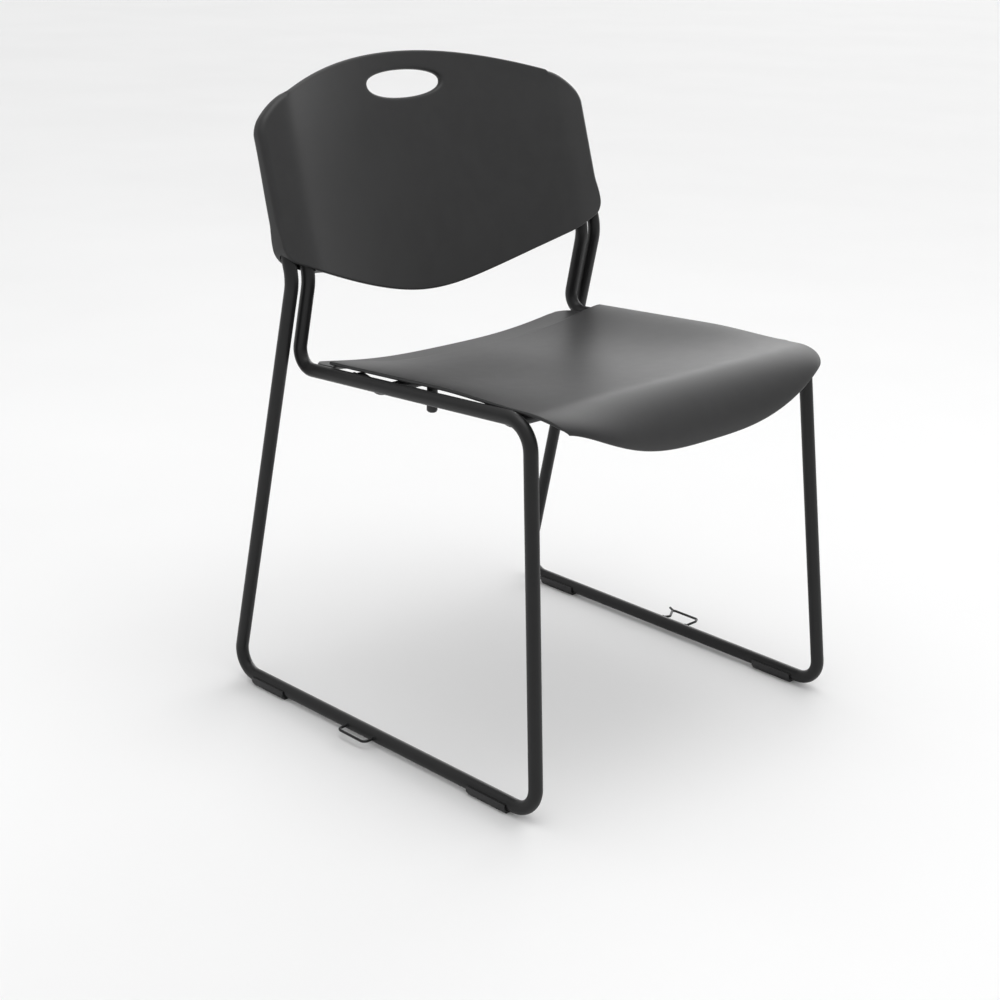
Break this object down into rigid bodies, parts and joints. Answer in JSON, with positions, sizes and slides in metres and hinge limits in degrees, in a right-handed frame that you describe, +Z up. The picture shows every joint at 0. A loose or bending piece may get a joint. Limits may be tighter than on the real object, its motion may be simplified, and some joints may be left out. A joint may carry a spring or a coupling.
{
  "type": "stacking chair",
  "caption": "Sled-base stacking chair: bent steel tube side frames with a moulded plastic seat and a curved back with a hand hole.",
  "frame": {"origin": "centre of the chair's bounding box at floor level", "axes": "+Z up, -Y to the front (the way a sitter faces), +X to the right in a view from the front"},
  "size_m": [0.5712, 0.5276, 0.7521],
  "materials": {
    "frame_powder": "satin black powder coat",
    "seat_plastic": "fine-grained black polypropylene",
    "back_plastic": "fine-grained black polypropylene",
    "nylon": "smooth black nylon",
    "screw_steel": "black oxide steel screws"
  },
  "bodies": {
    "root": {"side_frame_left": "frame_powder", "glide_front_left": "nylon", "glide_rear_left": "nylon", "stacking_bumper_left": "nylon", "back_screw_inner_left": "screw_steel", "back_screw_outer_left": "screw_steel", "side_frame_right": "frame_powder", "glide_front_right": "nylon", "glide_rear_right": "nylon", "stacking_bumper_right": "nylon", "back_screw_inner_right": "screw_steel", "back_screw_outer_right": "screw_steel", "cross_rod_front": "frame_powder", "cross_rod_rear": "frame_powder", "seat_tab_front_left": "frame_powder", "seat_screw_front_left": "screw_steel", "seat_tab_front_right": "frame_powder", "seat_screw_front_right": "screw_steel", "seat_tab_rear_left": "frame_powder", "seat_screw_rear_left": "screw_steel", "seat_tab_rear_right": "frame_powder", "seat_screw_rear_right": "screw_steel", "seat_shell": "seat_plastic", "back_shell": "back_plastic", "ganging_loop_left": "frame_powder", "ganging_hook_right": "frame_powder"}
  },
  "joints": []
}
